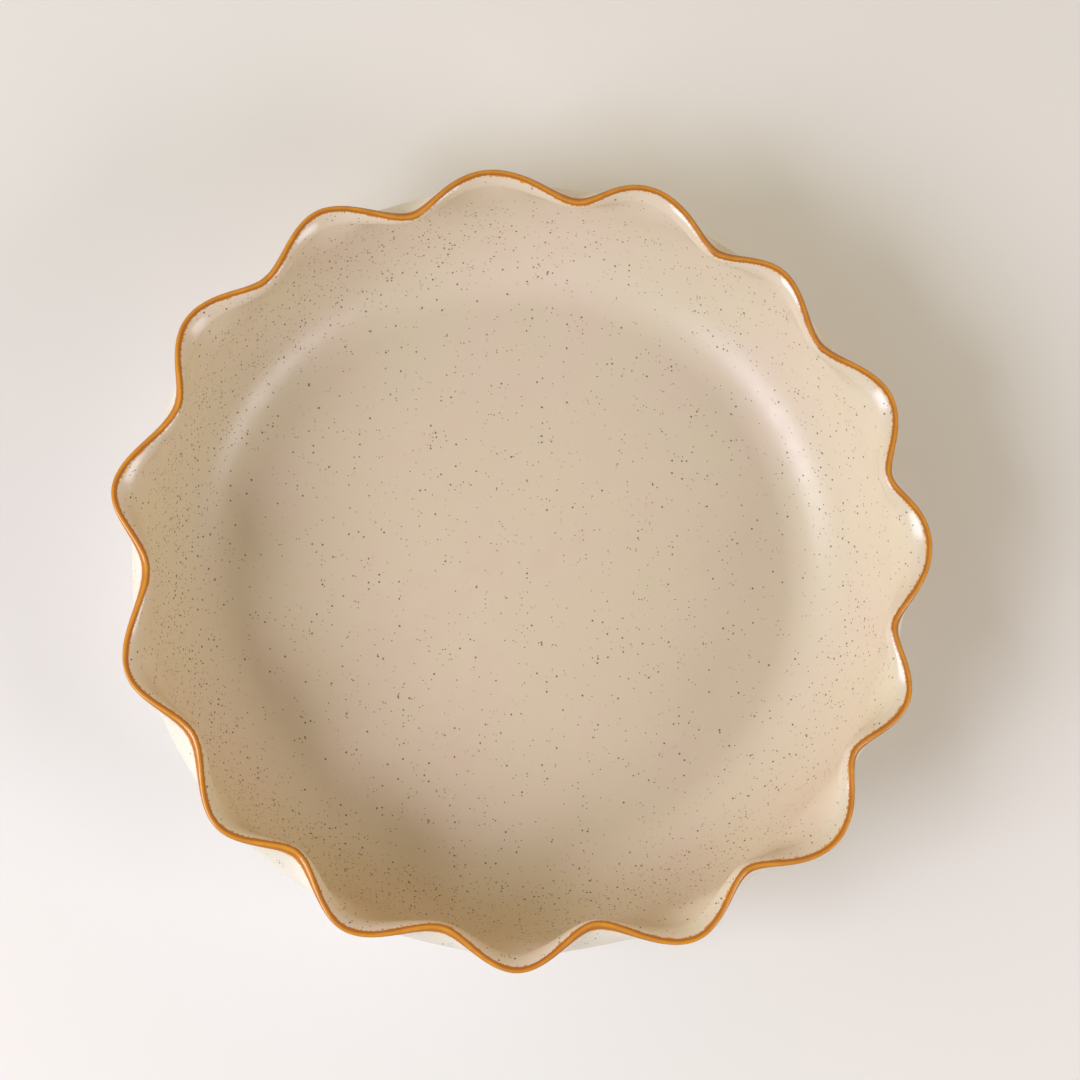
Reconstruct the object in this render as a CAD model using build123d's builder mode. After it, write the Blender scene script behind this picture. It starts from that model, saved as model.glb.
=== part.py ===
from build123d import *
from math import cos, hypot, pi, sin
import os

os.makedirs("parts", exist_ok=True)

# A round pie dish with a ruffled lip. All lengths are in millimetres.
# The origin is the middle of the foot ring, on the table, and +Z points up.

# Overall form
rim_height = 58.0  # table to the top of the lip
rim_radius = 136.6  # middle of the lip, averaged round the waves
lip_width = 5.0  # glazed lip, side to side
lip_edge = 1.35  # rounding of its outer edge
shoulder_width = 2.6  # soft shoulder from the level top of the lip in to the wall
shoulder_height = 4.0
band_width = 2.3  # coloured glaze, from the outer edge in over the top

# Ruffle
wave_reach = 5.5  # how far a plain wave leans out or in at the lip
ruffle_height = 15.0  # the waves fade out this far below the lip

# Inside
floor_height = 7.5  # table to the glazed inside floor
floor_radius = 101.0  # flat part of the inside floor

# Outside and foot
base_margin = 2.0  # how much wider the flat underside is than the inside floor
foot_height = 2.5  # table to the clay of the underside
foot_inset = 5.0  # from the edge of the flat underside in to the foot ring
foot_width = 6.0
foot_round = 1.0  # softened edges of the foot ring

# Fired coats
glaze_thickness = 0.4
bare_margin = 1.1  # the outside glaze stops this far above the underside

# Each wave in turn, anticlockwise from +X. The first three shares are its crest:
# turn, as a share of one wave's pitch, lean, as a share of wave_reach, and how far
# the flank after it bulges, as a share of the flank's own rise or fall.
# The last three are the valley after it in the same way.
wave_shares = [
    (0.12, 1.30, 0.15, 0.03, -0.70, 0.05),
    (0.03, 1.20, 0.05, 0.00, -1.20, 0.00),
    (0.04, 0.35, 0.00, -0.08, -1.35, 0.10),
    (-0.02, 0.70, 0.15, -0.15, -1.30, 0.00),
    (0.04, 0.35, 0.05, 0.00, -1.65, -0.05),
    (0.04, 1.10, 0.00, 0.07, -0.55, 0.10),
    (0.06, 1.50, 0.10, -0.03, -0.75, -0.05),
    (0.17, 1.35, -0.05, 0.03, -1.00, 0.00),
    (0.24, 1.00, -0.05, 0.15, -1.30, 0.00),
    (0.25, 0.60, -0.05, 0.18, -1.60, -0.05),
    (0.14, 0.85, 0.00, 0.25, -1.20, 0.10),
    (0.22, 0.90, 0.00, 0.17, -1.60, 0.00),
    (0.27, 1.30, 0.00, 0.24, -0.85, 0.10),
    (0.25, 1.75, 0.10, 0.24, -0.65, 0.05),
    (0.17, 1.20, 0.05, 0.08, -0.85, 0.10),
]
# Levels of the wall, as shares of the quarter turn that it makes from level to
# upright, and of the quarter turn that rounds each side of the lip.
wall_shares = [0.0, 0.07, 0.16, 0.28, 0.42, 0.56, 0.68, 0.77, 0.84, 0.89, 0.93, 0.965, 1.0]
lip_shares = [0.0, 0.25, 0.5, 0.75, 1.0]


def wave_stations():
    """Angle in radians, lean and slope of each crest, valley and half-way point."""
    pitch = 2 * pi / len(wave_shares)
    turns = []
    for index, (crest, out, crest_bulge, valley, back, valley_bulge) in enumerate(wave_shares):
        turns.append(((index + crest) * pitch, out * wave_reach, crest_bulge))
        turns.append(((index + 0.5 + valley) * pitch, back * wave_reach, valley_bulge))
    turns.append((turns[0][0] + 2 * pi, turns[0][1], turns[0][2]))
    found = []
    for (angle, lean, bulge), (next_angle, next_lean, _) in zip(turns, turns[1:]):
        swing = next_lean - lean
        steepest = pi / 2 * swing / (next_angle - angle)
        halfway = (lean + next_lean) / 2 + bulge * abs(swing)
        found.append((angle, lean, 0))
        found.append(((angle + next_angle) / 2, halfway, steepest))
    return found


stations = wave_stations()
# Every outline has its points at the same angles, so that the wall runs straight up.
station_angles = [angle for angle, _, _ in stations]
station_angles.append(station_angles[0] + 2 * pi)


def outline(height, middle_radius, side_offset):
    """The level face inside one outline: a waved middle line moved sideways."""
    climb = max(0, height - rim_height + ruffle_height) / ruffle_height
    waving = climb**2 * (2 - climb)
    points = []
    for angle, lean, slope in stations:
        radius = middle_radius + waving * lean
        steepness = waving * slope
        length = hypot(radius, steepness)
        out = radius + side_offset * radius / length
        along = -side_offset * steepness / length
        x = out * cos(angle) - along * sin(angle)
        y = out * sin(angle) + along * cos(angle)
        points.append(Vector(x, y))
    with BuildSketch(Plane.XY.offset(height)) as level:
        with BuildLine():
            add(Edge.make_spline(points, periodic=True, parameters=station_angles))
        make_face()
    return level.sketch.face()


def wall_block(start_radius, start_height, side_offset, end_height, mode=Mode.ADD):
    """The space inside one wall surface, from its level start up to the lip."""
    end_radius = rim_radius + side_offset
    levels = []
    for share in wall_shares:
        turn = share * pi / 2
        height = start_height + (end_height - start_height) * (1 - cos(turn))
        radius = start_radius + (end_radius - start_radius) * sin(turn)
        levels.append(outline(height, radius - side_offset, side_offset))
    loft(levels, mode=mode)


def lip_block(side_offset, start_height, inset, rise, mode=Mode.ADD):
    """The space inside one rounded side of the lip, above the wall."""
    levels = []
    for share in lip_shares:
        turn = share * pi / 2
        height = start_height + rise * sin(turn)
        levels.append(outline(height, rim_radius, side_offset + inset * (1 - cos(turn))))
    loft(levels, mode=mode)


def band_block(mode=Mode.ADD):
    """The space inside the coloured band, through the glaze on top of the lip."""
    levels = []
    for height in (clay_top, rim_height):
        levels.append(outline(height, rim_radius, half_lip - band_width))
    loft(levels, mode=mode)


half_lip = lip_width / 2
edge_start = rim_height - lip_edge
shoulder_start = rim_height - shoulder_height
base_radius = floor_radius + base_margin
foot_radius = base_radius - foot_inset
recess_radius = foot_radius - foot_width
clay_top = rim_height - glaze_thickness
clay_half_lip = half_lip - glaze_thickness
clay_edge = lip_edge - glaze_thickness
clay_shoulder_width = shoulder_width - glaze_thickness
clay_shoulder_height = shoulder_height - glaze_thickness
clay_floor_height = floor_height - glaze_thickness

# Clay body, with its bare foot ring
with BuildPart() as clay_body:
    wall_block(base_radius, foot_height, clay_half_lip, edge_start)
    lip_block(clay_half_lip, edge_start, -clay_edge, clay_edge)
    wall_block(floor_radius, clay_floor_height, -clay_half_lip, shoulder_start, Mode.SUBTRACT)
    lip_block(-clay_half_lip, shoulder_start, clay_shoulder_width, clay_shoulder_height, Mode.SUBTRACT)
    with BuildSketch(Plane.XY):
        Circle(foot_radius)
        Circle(recess_radius, mode=Mode.SUBTRACT)
    extrude(amount=foot_height)
    fillet(clay_body.faces().sort_by(Axis.Z)[0].edges(), radius=foot_round)
clay_body.part.label = "clay_body"
export_step(clay_body.part, "parts/clay_body.step")

# Glaze on the inside floor, wall and shoulder, up to the coloured band
with BuildPart() as liner_glaze:
    wall_block(floor_radius, clay_floor_height, -clay_half_lip, shoulder_start)
    lip_block(-clay_half_lip, shoulder_start, clay_shoulder_width, clay_shoulder_height)
    band_block()
    wall_block(floor_radius, floor_height, -half_lip, shoulder_start, Mode.SUBTRACT)
    lip_block(-half_lip, shoulder_start, shoulder_width, shoulder_height, Mode.SUBTRACT)
liner_glaze.part.label = "liner_glaze"
export_step(liner_glaze.part, "parts/liner_glaze.step")

# Glaze on the outside wall, from the lip down to the bare clay
with BuildPart() as outer_glaze:
    wall_block(base_radius, foot_height - glaze_thickness, half_lip, edge_start)
    wall_block(base_radius, foot_height, clay_half_lip, edge_start, Mode.SUBTRACT)
    split(bisect_by=Plane.XY.offset(foot_height + bare_margin), keep=Keep.TOP)
outer_glaze.part.label = "outer_glaze"
export_step(outer_glaze.part, "parts/outer_glaze.step")

# Coloured glaze on the outer edge and the top of the lip
with BuildPart() as rim_glaze:
    lip_block(half_lip, edge_start, -lip_edge, lip_edge)
    lip_block(clay_half_lip, edge_start, -clay_edge, clay_edge, Mode.SUBTRACT)
    band_block(Mode.SUBTRACT)
rim_glaze.part.label = "rim_glaze"
export_step(rim_glaze.part, "parts/rim_glaze.step")

# Glaze in the recess inside the foot ring
with BuildPart() as underside_glaze:
    with BuildSketch(Plane.XY.offset(foot_height)):
        Circle(recess_radius)
    extrude(amount=-glaze_thickness)
underside_glaze.part.label = "underside_glaze"
export_step(underside_glaze.part, "parts/underside_glaze.step")
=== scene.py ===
from math import cos, pi, radians, sin, tau

import bpy
import numpy as np
from mathutils import Matrix, Vector


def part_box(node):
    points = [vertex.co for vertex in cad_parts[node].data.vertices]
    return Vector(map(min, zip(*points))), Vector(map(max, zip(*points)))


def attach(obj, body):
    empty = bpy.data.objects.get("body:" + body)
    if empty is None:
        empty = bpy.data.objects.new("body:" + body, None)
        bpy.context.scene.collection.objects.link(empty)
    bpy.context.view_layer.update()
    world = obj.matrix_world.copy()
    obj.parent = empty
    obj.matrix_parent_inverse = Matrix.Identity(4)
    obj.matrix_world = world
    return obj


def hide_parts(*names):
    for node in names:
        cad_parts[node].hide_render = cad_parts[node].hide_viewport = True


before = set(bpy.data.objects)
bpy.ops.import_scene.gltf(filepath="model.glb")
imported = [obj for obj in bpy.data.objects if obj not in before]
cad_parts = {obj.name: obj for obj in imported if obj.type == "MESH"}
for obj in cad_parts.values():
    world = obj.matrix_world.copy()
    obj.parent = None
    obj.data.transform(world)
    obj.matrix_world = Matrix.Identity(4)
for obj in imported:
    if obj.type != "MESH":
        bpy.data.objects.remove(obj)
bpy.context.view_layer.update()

# A ruffled pie dish. Lengths are in metres, in the frame's own axes.
MM = 0.001

# Sizes that the frame gives
edge_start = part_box("rim_glaze")[0].z
lip_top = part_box("rim_glaze")[1].z
lip_edge = lip_top - edge_start
recess_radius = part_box("underside_glaze")[1].x
foot_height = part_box("underside_glaze")[1].z
glaze = foot_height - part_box("underside_glaze")[0].z
clay_floor_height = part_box("liner_glaze")[0].z
floor_height = clay_floor_height + glaze
bare_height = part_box("outer_glaze")[0].z

# The other sizes of the dish
rim_radius = 136.6 * MM
lip_width = 5 * MM
half_lip = lip_width / 2
edge_width = 1.15 * MM
shoulder_width = lip_width - edge_width
shoulder_height = 4 * MM
shoulder_start = lip_top - shoulder_height
band_width = 2.3 * MM
# How full each side of the lip is: 2 is an ellipse, and less is flatter
edge_fullness = 2
shoulder_fullness = 1.5
wave_reach = 5.5 * MM
ruffle_height = 15 * MM
floor_radius = 101 * MM
base_radius = 103 * MM
foot_radius = 98 * MM
foot_round = 1 * MM
clay_half_lip = half_lip - glaze

# Each wave in turn, anticlockwise from +X. The first three shares are its crest:
# turn, as a share of one wave's pitch, lean, as a share of wave_reach, and how far
# the flank after it bulges, as a share of the flank's own rise or fall.
# The last three are the valley after it in the same way.
wave_shares = [
    (0.12, 1.30, 0.15, 0.03, -0.70, 0.05),
    (0.03, 1.20, 0.05, 0.00, -1.20, 0.00),
    (0.04, 0.35, 0.00, -0.08, -1.35, 0.10),
    (-0.02, 0.70, 0.15, -0.15, -1.30, 0.00),
    (0.04, 0.35, 0.05, 0.00, -1.65, -0.05),
    (0.04, 1.10, 0.00, 0.07, -0.55, 0.10),
    (0.06, 1.50, 0.10, -0.03, -0.75, -0.05),
    (0.17, 1.35, -0.05, 0.03, -1.00, 0.00),
    (0.24, 1.00, -0.05, 0.15, -1.30, 0.00),
    (0.25, 0.60, -0.05, 0.18, -1.60, -0.05),
    (0.14, 0.85, 0.00, 0.25, -1.20, 0.10),
    (0.22, 0.90, 0.00, 0.17, -1.60, 0.00),
    (0.27, 1.30, 0.00, 0.24, -0.85, 0.10),
    (0.25, 1.75, 0.10, 0.24, -0.65, 0.05),
    (0.17, 1.20, 0.05, 0.08, -0.85, 0.10),
]
# Slight unevenness of a dish shaped by hand: turns round the dish, share of
# uneven_reach and where it starts, as a share of a turn.
uneven_shares = [(2, 1.0, 0.13), (3, 0.7, 0.61), (5, 0.45, 0.27), (8, 0.25, 0.82)]
uneven_reach = 0.22 * MM

beyond_all = 0.1  # added to the last distance, for all that lies further in, in millimetres

# Mesh density
columns = 720
wall_rows = 64
back_rows = 20
lip_rows = 24
foot_rows = 6
stop_rows = 5  # round the edge where the outside glaze stops
disc_shares = (0.04, 0.2, 0.4, 0.6, 0.78, 0.9, 0.97)  # rows of a flat disc, from its middle out
sharp_angle = radians(38)  # a corner sharper than this shows as a crease

around = np.linspace(0, tau, columns, endpoint=False)


def wave_curve():
    """Lean of the lip and its slope, at every column, on a smooth closed curve."""
    pitch = tau / len(wave_shares)
    turns = []
    for index, (crest, out, crest_bulge, valley, back, valley_bulge) in enumerate(wave_shares):
        turns.append(((index + crest) * pitch, out * wave_reach, crest_bulge))
        turns.append(((index + 0.5 + valley) * pitch, back * wave_reach, valley_bulge))
    turns.append((turns[0][0] + tau, turns[0][1], turns[0][2]))
    knots, leans = [], []
    for (angle, lean, bulge), (next_angle, next_lean, _) in zip(turns, turns[1:]):
        knots += [angle, (angle + next_angle) / 2]
        leans += [lean, (lean + next_lean) / 2 + bulge * abs(next_lean - lean)]
    knots, leans = np.array(knots), np.array(leans)
    count = len(knots)
    step = np.diff(np.append(knots, knots[0] + tau))
    rise = np.diff(np.append(leans, leans[0])) / step
    # The slopes at the knots that keep the curve's bend unbroken
    system = np.zeros((count, count))
    right = np.zeros(count)
    for i in range(count):
        before, after = (i - 1) % count, (i + 1) % count
        system[i, before] = 1 / step[before]
        system[i, i] = 2 / step[before] + 2 / step[i]
        system[i, after] = 1 / step[i]
        right[i] = 3 * (rise[before] / step[before] + rise[i] / step[i])
    slopes = np.linalg.solve(system, right)
    place = (around - knots[0]) % tau
    i = np.searchsorted(knots - knots[0], place, side="right") - 1
    j = (i + 1) % count
    s = (place - (knots[i] - knots[0])) / step[i]
    lean = (leans[i] * (1 + 2 * s) * (1 - s) ** 2 + leans[j] * (3 - 2 * s) * s**2
            + step[i] * (slopes[i] * s * (1 - s) ** 2 + slopes[j] * s**2 * (s - 1)))
    slope = (6 * s * (1 - s) * (leans[j] - leans[i]) / step[i]
             + slopes[i] * (1 - s) * (1 - 3 * s) + slopes[j] * s * (3 * s - 2))
    return lean, slope


lean, slope = wave_curve()
uneven = sum(share * np.sin(turns * around + start * tau) for turns, share, start in uneven_shares)


def ring(height, middle_radius, side_offset):
    """One level row of points: a waved middle line moved sideways."""
    climb = max(0, height - lip_top + ruffle_height) / ruffle_height
    waving = climb**2 * (2 - climb)
    belly = sin(pi * min(1, height / lip_top)) * uneven_reach
    radius = middle_radius + waving * lean + belly * uneven
    steepness = waving * slope
    length = np.hypot(radius, steepness)
    out = radius + side_offset * radius / length
    along = -side_offset * steepness / length
    x = out * np.cos(around) - along * np.sin(around)
    y = out * np.sin(around) + along * np.cos(around)
    return np.stack([x, y, np.full(columns, height)], axis=1)


def circle(radius, height):
    """One level row of points on a plain circle."""
    x, y = radius * np.cos(around), radius * np.sin(around)
    return np.stack([x, y, np.full(columns, height)], axis=1)


def wall(start_radius, start_height, side_offset, end_height, rows, start_share=0.0):
    """Rows up one wall surface, from its level start to the foot of the lip."""
    end_radius = rim_radius + side_offset
    found = []
    for share in np.linspace(start_share, 1, rows):
        turn = share * pi / 2
        height = start_height + (end_height - start_height) * (1 - cos(turn))
        radius = start_radius + (end_radius - start_radius) * sin(turn)
        found.append(ring(height, radius - side_offset, side_offset))
    return found


def edge_side(coat, rows):
    """Rows up the outer edge of the lip, coat below the glazed face, to its crest."""
    width, rise = edge_width - coat, lip_edge - coat
    found = []
    for turn in np.linspace(0, pi / 2, rows):
        offset = half_lip - edge_width + width * cos(turn) ** (2 / edge_fullness)
        height = lip_top - coat - rise * (1 - sin(turn) ** (2 / edge_fullness))
        found.append(ring(height, rim_radius, offset))
    return found


def shoulder_side(coat, first, last, rows):
    """Rows down the shoulder, coat below the glazed face, from one distance in to another."""
    width, rise = shoulder_width - coat, shoulder_height - coat
    first_turn = np.arcsin(min(1, first / width) ** (shoulder_fullness / 2))
    last_turn = np.arcsin(min(1, last / width) ** (shoulder_fullness / 2))
    found = []
    for turn in np.linspace(first_turn, last_turn, rows):
        offset = half_lip - edge_width - width * sin(turn) ** (2 / shoulder_fullness)
        height = lip_top - coat - rise * (1 - max(0, cos(turn)) ** (2 / shoulder_fullness))
        found.append(ring(height, rim_radius, offset))
    return found


def mesh_of_rows(name, rows, low_pole=None, high_pole=None):
    """A closed mesh through rows of points. Without poles its last row meets its first."""
    points = np.concatenate(rows)
    faces = []
    bands = len(rows) if low_pole is None else len(rows) - 1
    for band in range(bands):
        first, second = band * columns, (band + 1) % len(rows) * columns
        for column in range(columns):
            after = (column + 1) % columns
            faces.append((first + column, first + after, second + after, second + column))
    if low_pole is not None:
        points = np.concatenate([points, [low_pole, high_pole]])
        low, high, last = len(points) - 2, len(points) - 1, (len(rows) - 1) * columns
        for column in range(columns):
            after = (column + 1) % columns
            faces.append((low, after, column))
            faces.append((high, last + column, last + after))
    mesh = bpy.data.meshes.new(name)
    mesh.from_pydata(points.tolist(), [], faces)
    mesh.validate()
    mesh.shade_smooth()
    mesh.set_sharp_from_angle(angle=sharp_angle)
    piece = bpy.data.objects.new(name, mesh)
    bpy.context.scene.collection.objects.link(piece)
    return piece


def floor_rings(height, radius):
    """Rows over a flat disc, from near its middle to just inside its edge."""
    return [circle(radius * share, height) for share in disc_shares]


def make_liner():
    """Glaze on the inside floor, wall and shoulder, up to the coloured band."""
    start = band_width - edge_width
    shoulder = shoulder_side(0, start, shoulder_width, lip_rows)
    front = shoulder[:-1] + wall(floor_radius, floor_height, -half_lip, shoulder_start, wall_rows)[::-1]
    front += floor_rings(floor_height, floor_radius)[::-1]
    back = shoulder_side(glaze, start, shoulder_width, lip_rows // 2)[:-1]
    back += wall(floor_radius, clay_floor_height, -clay_half_lip, shoulder_start, back_rows)[::-1]
    back += floor_rings(clay_floor_height, floor_radius)[::-1]
    poles = (0, 0, clay_floor_height), (0, 0, floor_height)
    piece = mesh_of_rows("inside_glaze", back[::-1] + front, *poles)
    # How far in from the coloured band each row of the shoulder lies, in millimetres
    middle = np.hypot(*shoulder[0][:, :2].T).mean()
    near = [(middle - np.hypot(*row[:, :2].T).mean()) / MM for row in shoulder[:-1]]
    farthest = near[-1] + beyond_all
    rest = len(front) - len(near)
    values = np.repeat([farthest] * len(back) + near + [farthest] * rest, columns).tolist()
    beyond_band = piece.data.attributes.new("beyond_band", "FLOAT", "POINT")
    beyond_band.data.foreach_set("value", values + [farthest] * 2)
    return piece


def make_outside():
    """Glaze on the outside wall, with a soft edge where it stops above the foot."""
    edge_height = bare_height + glaze
    start_height = foot_height - glaze
    edge_share = np.arccos(1 - (edge_height - start_height) / (edge_start - start_height)) / (pi / 2)
    front = wall(base_radius, start_height, half_lip, edge_start, wall_rows, edge_share)
    bare_share = np.arccos(1 - (bare_height - foot_height) / (edge_start - foot_height)) / (pi / 2)
    back = wall(base_radius, foot_height, clay_half_lip, edge_start, back_rows, bare_share)
    # The rounded edge turns from the clay out to the glazed face
    edge = []
    for turn in np.linspace(0, pi / 2, stop_rows)[1:-1]:
        edge.append(back[0] + (front[0] - back[0]) * [sin(turn), sin(turn), 1 - cos(turn)])
    return mesh_of_rows("outside_glaze", back[::-1] + edge + front)


def make_lip():
    """Coloured glaze on the outer edge and the crest of the lip."""
    start = band_width - edge_width
    front = edge_side(0, lip_rows) + shoulder_side(0, 0, start, lip_rows)[1:]
    back = edge_side(glaze, lip_rows // 2) + shoulder_side(glaze, 0, start, lip_rows // 2)[1:]
    piece = mesh_of_rows("lip_glaze", front + back[::-1])
    # How far across the band each row lies, from -1 outside to 1 inside
    shares = [-cos(turn) for turn in np.linspace(0, pi, len(front))]
    shares += [-cos(turn) for turn in np.linspace(pi, 0, len(back))]
    across = piece.data.attributes.new("across_band", "FLOAT", "POINT")
    across.data.foreach_set("value", np.repeat(shares, columns).tolist())
    return piece


def make_clay():
    """The fired clay body, with its bare foot ring."""
    rows = floor_rings(foot_height, recess_radius)
    rows.append(circle(recess_radius, foot_height))
    rows.append(circle(recess_radius, foot_round))
    for turn in np.linspace(0, pi / 2, foot_rows)[1:]:
        rows.append(circle(recess_radius + foot_round * (1 - cos(turn)), foot_round * (1 - sin(turn))))
    for turn in np.linspace(0, pi / 2, foot_rows):
        rows.append(circle(foot_radius - foot_round * (1 - sin(turn)), foot_round * (1 - cos(turn))))
    rows.append(circle(foot_radius, foot_height))
    rows += wall(base_radius, foot_height, clay_half_lip, edge_start, back_rows)
    rows += edge_side(glaze, lip_rows // 2)[1:]
    rows += shoulder_side(glaze, 0, shoulder_width, lip_rows // 2)[1:-1]
    rows += wall(floor_radius, clay_floor_height, -clay_half_lip, shoulder_start, back_rows)[::-1]
    rows += floor_rings(clay_floor_height, floor_radius)[::-1]
    return mesh_of_rows("stoneware_body", rows, (0, 0, foot_height), (0, 0, clay_floor_height))


def make_underside():
    """Glaze in the recess inside the foot ring, with a softened edge."""
    low = foot_height - glaze
    rows = floor_rings(low, recess_radius - glaze)
    for turn in np.linspace(0, pi / 2, foot_rows):
        rows.append(circle(recess_radius - glaze * (1 - sin(turn)), foot_height - glaze * cos(turn)))
    rows += floor_rings(foot_height, recess_radius - glaze)[::-1]
    return mesh_of_rows("underside_coat", rows, (0, 0, low), (0, 0, foot_height))


def linear(red, green, blue):
    """A colour written as picture values from 0 to 255, as the shader takes it."""
    values = [value / 255 for value in (red, green, blue)]
    return [v / 12.92 if v <= 0.04045 else ((v + 0.055) / 1.055) ** 2.4 for v in values] + [1.0]


class Nodes:
    """A node tree and short ways to add nodes to it."""

    def __init__(self, tree):
        self.tree = tree

    def node(self, kind, inputs=None, **settings):
        """A node with its settings, and its inputs set or linked."""
        made = self.tree.nodes.new(kind)
        for name, value in settings.items():
            setattr(made, name, value)
        for name, value in (inputs or {}).items():
            self.put(made.inputs[name], value)
        return made

    def put(self, socket, value):
        """Sets an input to a value, or links it to another node's output."""
        if isinstance(value, bpy.types.NodeSocket):
            self.tree.links.new(value, socket)
        else:
            socket.default_value = value

    def math(self, operation, a, b=0.0, clamp=False):
        return self.node("ShaderNodeMath", {0: a, 1: b}, operation=operation, use_clamp=clamp).outputs[0]

    def vector(self, operation, a, b):
        return self.node("ShaderNodeVectorMath", {0: a, 1: b}, operation=operation).outputs[0]

    def scaled(self, vector, scale):
        inputs = {0: vector, "Scale": scale}
        return self.node("ShaderNodeVectorMath", inputs, operation="SCALE").outputs[0]

    def ramp(self, value, low, high, to_low=0.0, to_high=1.0):
        """The value carried smoothly from one range to another."""
        inputs = {"Value": value, "From Min": low, "From Max": high, "To Min": to_low, "To Max": to_high}
        return self.node("ShaderNodeMapRange", inputs, interpolation_type="SMOOTHSTEP").outputs[0]


class Material(Nodes):
    """A material whose textures are placed in millimetres on the dish."""

    def __init__(self, name):
        self.material = bpy.data.materials.new(name)
        self.material.use_nodes = True
        super().__init__(self.material.node_tree)
        self.shader = self.tree.nodes["Principled BSDF"]
        self.place = self.scaled(self.node("ShaderNodeTexCoord").outputs["Object"], 1 / MM)

    def noise(self, size, detail=2.0):
        """Soft noise whose features are about size millimetres across."""
        inputs = {"Vector": self.place, "Scale": 1 / size, "Detail": detail}
        return self.node("ShaderNodeTexNoise", inputs).outputs["Fac"]

    def mix(self, share, a, b):
        """Colour a where share is 0, and b where it is 1."""
        made = self.node("ShaderNodeMix", data_type="RGBA")
        for socket, value in zip((made.inputs[0], made.inputs[6], made.inputs[7]), (share, a, b)):
            self.put(socket, value)
        return made.outputs[2]


# Looks. Sizes of textures are in millimetres.
amber_tints = [linear(200, 130, 10), linear(212, 142, 18)]
amber_pool = linear(180, 108, 4)
# The darker amber along the band's edges is partly pooled glaze and partly painted shade of the lip's
# rounded sides
amber_pooled_shaded_edge = linear(144, 74, 2)
amber_pool_share = 0.45
amber_pooled_shaded_share = 0.7
amber_roughness = 0.18
# A layer of specks: how far they lie apart, their radius, and how many places hold one
fine_specks = (1.05, 0.25, 0.3)
middle_specks = (1.9, 0.38, 0.55)
faint_specks = (1.4, 0.42, 0.3)
clay_specks = (1.4, 0.35, 0.4)
speck_dark = linear(80, 56, 38)
speck_light = linear(150, 124, 98)
dark_strength = 0.92
faint_strength = 0.3
# Where the specks thicken above the floor, and thin out below the lip
thicken_from, thicken_to = -1, 12
thin_from = 26
lip_share = 0.1
# They lie thickest on the left, and a little thicker in front than behind
aside_reach = 130
aside_slant = 0.55
right_share = 0.2
cluster_swing = 0.35
# Two ways in which the amber's edge wanders: size, detail and swing
close_wander = (0.9, 3, 1.6)
long_wander = (12, 1, 0.6)
# Over how much the amber fades out there, and how far down the outside it starts to
ragged_start, ragged_end = 0.12, 0.22
outside_gap = 0.3
# How far the glaze's roughness strays down and up, and its share on the glossier shoulder
rough_less, rough_more = 0.03, 0.04
shoulder_gloss = 0.4
shoulder_gloss_from, shoulder_gloss_to = 0.5, 3
# Height of the glaze's slow swell, of its fine orange peel and of the pits at specks
swell_height, peel_height, pit_depth = 0.10, 0.012, 0.012


def amber_colour(m):
    """Amber glaze, a little streaked, and deeper where it pools."""
    streaks = m.ramp(m.noise(3.5, 3), 0.3, 0.7)
    pools = m.ramp(m.noise(9, 2), 0.35, 0.75)
    amber = m.mix(streaks, *amber_tints)
    return m.mix(m.math("MULTIPLY", pools, amber_pool_share), amber, amber_pool)


def specks(m, layer, share):
    """Round iron specks of many sizes: how dark each point is, from 0 to 1."""
    spacing, radius, chance = layer
    cells = m.node("ShaderNodeTexVoronoi", {"Vector": m.place, "Scale": 1 / spacing})
    draw = m.node("ShaderNodeSeparateColor", {0: cells.outputs["Color"]}).outputs[0]
    there = m.math("LESS_THAN", draw, m.math("MULTIPLY", share, chance))
    distance = cells.outputs["Distance"]
    dot = m.ramp(distance, 0.6 * radius / spacing, 1.3 * radius / spacing, 1.0, 0.0)
    return m.math("MULTIPLY", dot, there)


def wander(m, size, detail, swing):
    """A distance that strays either way by up to half of swing."""
    return m.math("MULTIPLY", m.math("SUBTRACT", m.noise(size, detail), 0.5), swing)


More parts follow.
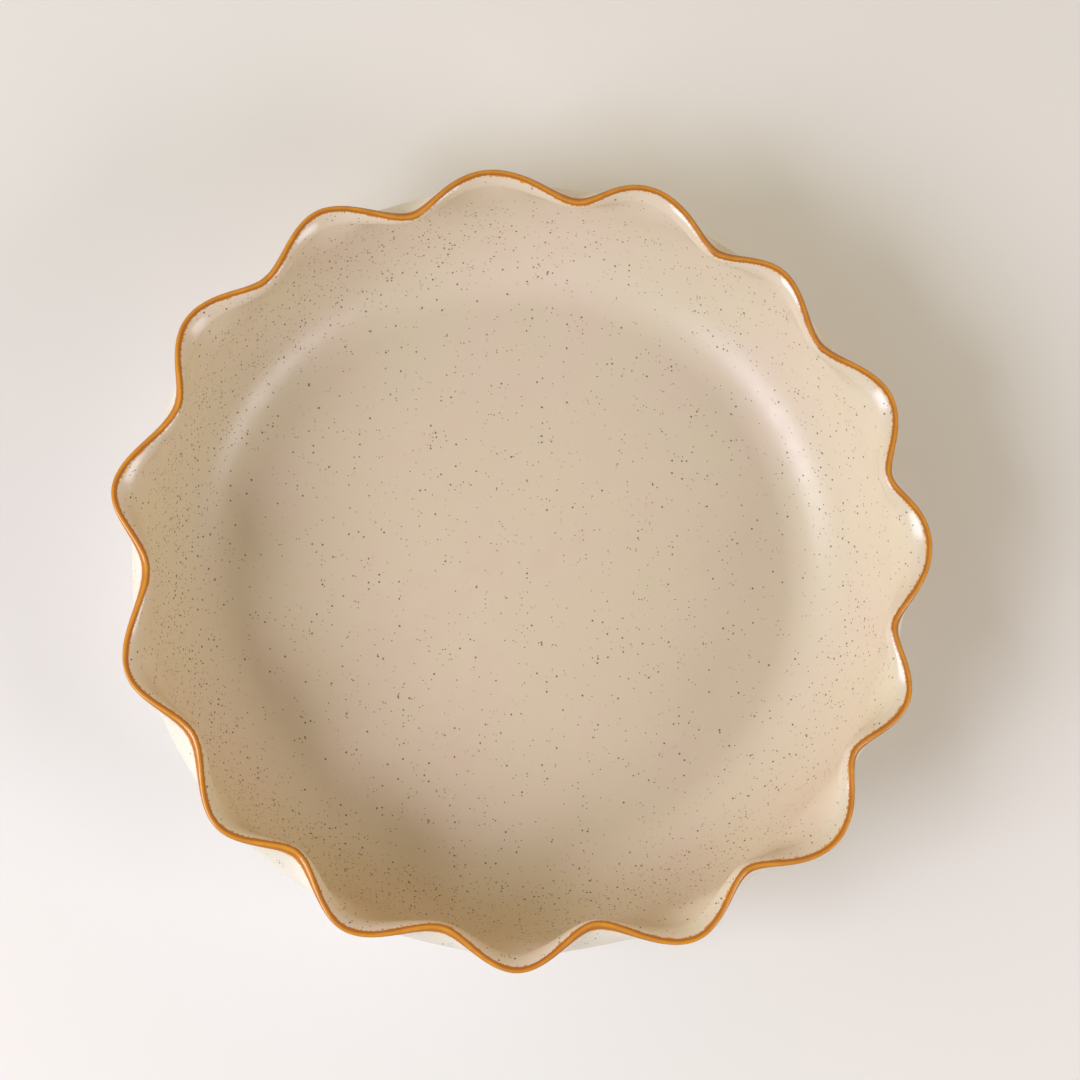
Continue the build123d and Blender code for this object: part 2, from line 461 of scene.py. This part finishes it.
def speckled_glaze(name, tints, floor_share, wall_share, roughness, bleed):
    """Satin glaze with soft tints and iron specks, and ragged amber where it nears the band."""
    m = Material(name)
    pale, pink, green = tints
    blotches = m.ramp(m.noise(34, 2), 0.36, 0.64)
    colour = m.mix(blotches, pink, green)
    colour = m.mix(m.ramp(m.noise(9, 3), 0.3, 0.7, 0.35, 0.85), colour, pale)
    # The specks lie thicker on the wall, most of all towards its left
    x, y, z = m.node("ShaderNodeSeparateXYZ", {0: m.place}).outputs
    floor_z, lip_z = floor_height / MM, lip_top / MM
    up = m.ramp(z, floor_z + thicken_from, floor_z + thicken_to)
    up = m.math("MULTIPLY", up, m.ramp(z, lip_z - thin_from, lip_z, 1.0, lip_share))
    rightward = m.math("ADD", x, m.math("MULTIPLY", y, aside_slant))
    aside = m.ramp(rightward, aside_reach, -aside_reach, right_share, 1.0)
    share = m.math("MULTIPLY_ADD", m.math("MULTIPLY", up, aside), wall_share - floor_share)
    share.node.inputs[2].default_value = floor_share
    share = m.math("ADD", share, m.ramp(m.noise(7, 2), 0.25, 0.75, -cluster_swing, cluster_swing))
    dark = m.math("MAXIMUM", specks(m, fine_specks, share), specks(m, middle_specks, share))
    faint = specks(m, faint_specks, share)
    colour = m.mix(m.math("MULTIPLY", faint, faint_strength), colour, speck_light)
    colour = m.mix(m.math("MULTIPLY", dark, dark_strength), colour, speck_dark)
    rough = m.ramp(m.noise(5, 3), 0.3, 0.7, roughness - rough_less, roughness + rough_more)
    # Amber that ran over the edge, thin and uneven
    ragged = m.math("ADD", wander(m, *close_wander), wander(m, *long_wander))
    if bleed == "inside":
        distance = m.node("ShaderNodeAttribute", attribute_name="beyond_band").outputs["Fac"]
        gloss = m.ramp(distance, shoulder_gloss_from, shoulder_gloss_to, shoulder_gloss, 1.0)
        rough = m.math("MULTIPLY", rough, gloss)
    else:
        distance = m.math("SUBTRACT", edge_start / MM - outside_gap, z)
    covered = m.ramp(m.math("ADD", distance, ragged), ragged_start, ragged_end, 1.0, 0.0)
    colour = m.mix(covered, colour, amber_colour(m))
    m.put(m.shader.inputs["Base Color"], colour)
    m.put(m.shader.inputs["Roughness"], rough)
    swell = m.math("MULTIPLY", m.noise(14, 2), swell_height)
    swell = m.math("ADD", swell, m.math("MULTIPLY", m.noise(1.6, 2), peel_height))
    swell = m.math("SUBTRACT", swell, m.math("MULTIPLY", dark, pit_depth))
    bump = m.node("ShaderNodeBump", {"Height": swell, "Distance": MM, "Strength": 0.8})
    m.put(m.shader.inputs["Normal"], bump.outputs[0])
    return m


inner_tints = [linear(210, 194, 172), linear(210, 189, 171), linear(208, 194, 167)]
outer_tints = [linear(217, 208, 193), linear(216, 205, 191), linear(215, 206, 188)]

liner_material = speckled_glaze("liner_glaze_satin", inner_tints, 0.2, 1.0, 0.36, "inside")
outer_material = speckled_glaze("outer_glaze_satin", outer_tints, 0.1, 0.3, 0.36, "outside")


def amber_glaze():
    """Glossy amber glaze on the outer edge and the top of the lip."""
    m = Material("amber_glaze_gloss")
    # Darker along both of its edges: partly glaze pooled there, partly painted shade on the sides of the
    # rounded lip
    across = m.node("ShaderNodeAttribute", attribute_name="across_band").outputs["Fac"]
    pooled_and_shaded_edges = m.ramp(m.math("ABSOLUTE", across), 0.3, 0.95, 0.0, amber_pooled_shaded_share)
    colour = m.mix(pooled_and_shaded_edges, amber_colour(m), amber_pooled_shaded_edge)
    m.put(m.shader.inputs["Base Color"], colour)
    m.put(m.shader.inputs["Roughness"], amber_roughness)
    bump = m.node("ShaderNodeBump", {"Height": m.noise(2.2, 2), "Distance": MM, "Strength": 0.05})
    m.put(m.shader.inputs["Normal"], bump.outputs[0])
    return m


def bare_clay():
    """Unglazed buff stoneware with grog and iron specks."""
    m = Material("bare_stoneware_clay")
    patches = m.ramp(m.noise(12, 4), 0.3, 0.7)
    colour = m.mix(patches, linear(196, 170, 138), linear(208, 186, 156))
    grog = m.ramp(m.noise(0.7, 1), 0.6, 0.72)
    iron = specks(m, clay_specks, 0.6)
    colour = m.mix(m.math("MULTIPLY", grog, 0.35), colour, linear(160, 128, 96))
    colour = m.mix(m.math("MULTIPLY", iron, 0.8), colour, linear(84, 62, 46))
    m.put(m.shader.inputs["Base Color"], colour)
    m.put(m.shader.inputs["Roughness"], m.ramp(m.noise(2, 3), 0.3, 0.7, 0.78, 0.9))
    grain = m.math("MULTIPLY", m.noise(0.5, 3), 0.09)
    grain = m.math("ADD", grain, m.math("MULTIPLY", grog, -0.05))
    bump = m.node("ShaderNodeBump", {"Height": grain, "Distance": MM, "Strength": 1.0})
    m.put(m.shader.inputs["Normal"], bump.outputs[0])
    return m


def dress(piece, material, node):
    """Gives a piece its material and its place on the dish, and hides the CAD node that it replaces."""
    piece.data.materials.append(material.material)
    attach(piece, "root")
    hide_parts(node)


dress(make_liner(), liner_material, "liner_glaze")
dress(make_outside(), outer_material, "outer_glaze")
dress(make_lip(), amber_glaze(), "rim_glaze")
dress(make_clay(), bare_clay(), "clay_body")
dress(make_underside(), outer_material, "underside_glaze")


# Floor, background and light
background_white = 0.86
floor_tint = linear(229, 226, 224)
floor_reach = 6
floor_roughness = 0.55
fade_from, fade_to = 600, 1400  # millimetres from the dish
# Light from each side of the room
right_light = (1.04, 0.96, 0.31)
left_light = (1.95, 2.1, 1.8)
back_light = (0.68, 0.31, 0.07)
front_light = (0.03, 0.03, 0.03)
top_light = (0.03, 0.03, 0.03)
room_tints = [right_light, left_light, back_light, front_light, top_light]
# Azimuth and elevation in degrees, distance, width and height in metres, level, colour
windows = {
    "key_window": (-156, 38, 1.5, 0.8, 0.7, 0.83, (0.85, 0.85, 1.0)),
    "fill_window": (-28, 30, 1.6, 0.7, 0.6, 0.5, (0.75, 0.72, 0.85)),
}
# The camera's lens and sensor in millimetres, its lean in degrees and its place
camera_lens, camera_sensor = 75, 36
camera_tilt, camera_turn = 8.19, -124.8
camera_place = Vector((-59.6, -86.1, 842.4)) * MM


def make_floor():
    """A plain pale floor, which fades into the background far from the dish."""
    bpy.ops.mesh.primitive_circle_add(vertices=96, radius=floor_reach, fill_type="NGON")
    floor = bpy.context.object
    floor.name = "floor"
    m = Material("pale_floor")
    m.put(m.shader.inputs["Base Color"], floor_tint)
    m.put(m.shader.inputs["Roughness"], floor_roughness)
    distance = m.node("ShaderNodeVectorMath", {0: m.place}, operation="LENGTH").outputs["Value"]
    far = m.ramp(distance, fade_from, fade_to)
    rays = m.node("ShaderNodeLightPath").outputs
    seen = m.math("MAXIMUM", rays["Is Camera Ray"], rays["Is Glossy Ray"])
    glow_inputs = {"Color": [background_white] * 3 + [1], "Strength": 1.0}
    glow = m.node("ShaderNodeEmission", glow_inputs).outputs[0]
    blend = m.node("ShaderNodeMixShader", {0: m.math("MULTIPLY", far, seen)})
    m.put(blend.inputs[1], m.shader.outputs[0])
    m.put(blend.inputs[2], glow)
    output = m.tree.nodes["Material Output"]
    m.put(output.inputs["Surface"], blend.outputs[0])
    floor.data.materials.append(m.material)


def make_world():
    """Soft light from all round, tinted for each side of the room, and a pale background."""
    world = bpy.data.worlds.new("studio")
    bpy.context.scene.world = world
    world.use_nodes = True
    world.node_tree.nodes.clear()
    w = Nodes(world.node_tree)
    towards = w.node("ShaderNodeTexCoord").outputs["Generated"]
    x, y, z = w.node("ShaderNodeSeparateXYZ", {0: towards}).outputs
    light = (0, 0, 0)
    for part, sign, tint in zip((x, x, y, y, z), (1, -1, 1, -1, 1), room_tints):
        facing = w.math("MULTIPLY", part, sign, clamp=True)
        light = w.vector("ADD", light, w.scaled(tint, w.math("POWER", facing, 2)))
    rays = w.node("ShaderNodeLightPath").outputs
    seen = w.math("MAXIMUM", rays["Is Camera Ray"], rays["Is Glossy Ray"])
    around_it = w.node("ShaderNodeBackground", {"Color": light})
    backdrop = w.node("ShaderNodeBackground", {"Color": [background_white] * 3 + [1]})
    shaders = {0: seen, 1: around_it.outputs[0], 2: backdrop.outputs[0]}
    blend = w.node("ShaderNodeMixShader", shaders)
    w.node("ShaderNodeOutputWorld", {0: blend.outputs[0]})


def soft_window(name, azimuth, elevation, distance, width, height, level, colour):
    """A soft rectangular light. A face turned to it at the dish gets irradiance pi * level."""
    lamp = bpy.data.lights.new(name, "AREA")
    lamp.shape = "RECTANGLE"
    lamp.size, lamp.size_y = width, height
    lamp.color = colour
    lamp.energy = level * pi * pi * distance**2
    window = bpy.data.objects.new(name, lamp)
    bpy.context.scene.collection.objects.link(window)
    turn, lift = radians(azimuth), radians(elevation)
    towards = Vector((cos(turn) * cos(lift), sin(turn) * cos(lift), sin(lift)))
    window.location = towards * distance
    window.rotation_mode = "QUATERNION"
    window.rotation_quaternion = towards.to_track_quat("Z", "Y")


def make_camera():
    """The photograph's view: high above the dish, a little from the lower left."""
    data = bpy.data.cameras.new("camera")
    data.lens, data.sensor_width = camera_lens, camera_sensor
    camera = bpy.data.objects.new("camera", data)
    bpy.context.scene.collection.objects.link(camera)
    tilt, turn = radians(camera_tilt), radians(camera_turn)
    back = Vector((sin(tilt) * cos(turn), sin(tilt) * sin(turn), cos(tilt)))
    right = Vector((0, 1, 0)).cross(back).normalized()
    up = back.cross(right)
    axes = Matrix((right, up, back)).transposed()
    camera.matrix_world = Matrix.Translation(camera_place) @ axes.to_4x4()
    bpy.context.scene.camera = camera


make_floor()
make_world()
for window_name, values in windows.items():
    soft_window(window_name, *values)
make_camera()
bpy.context.scene.view_settings.view_transform = "Standard"
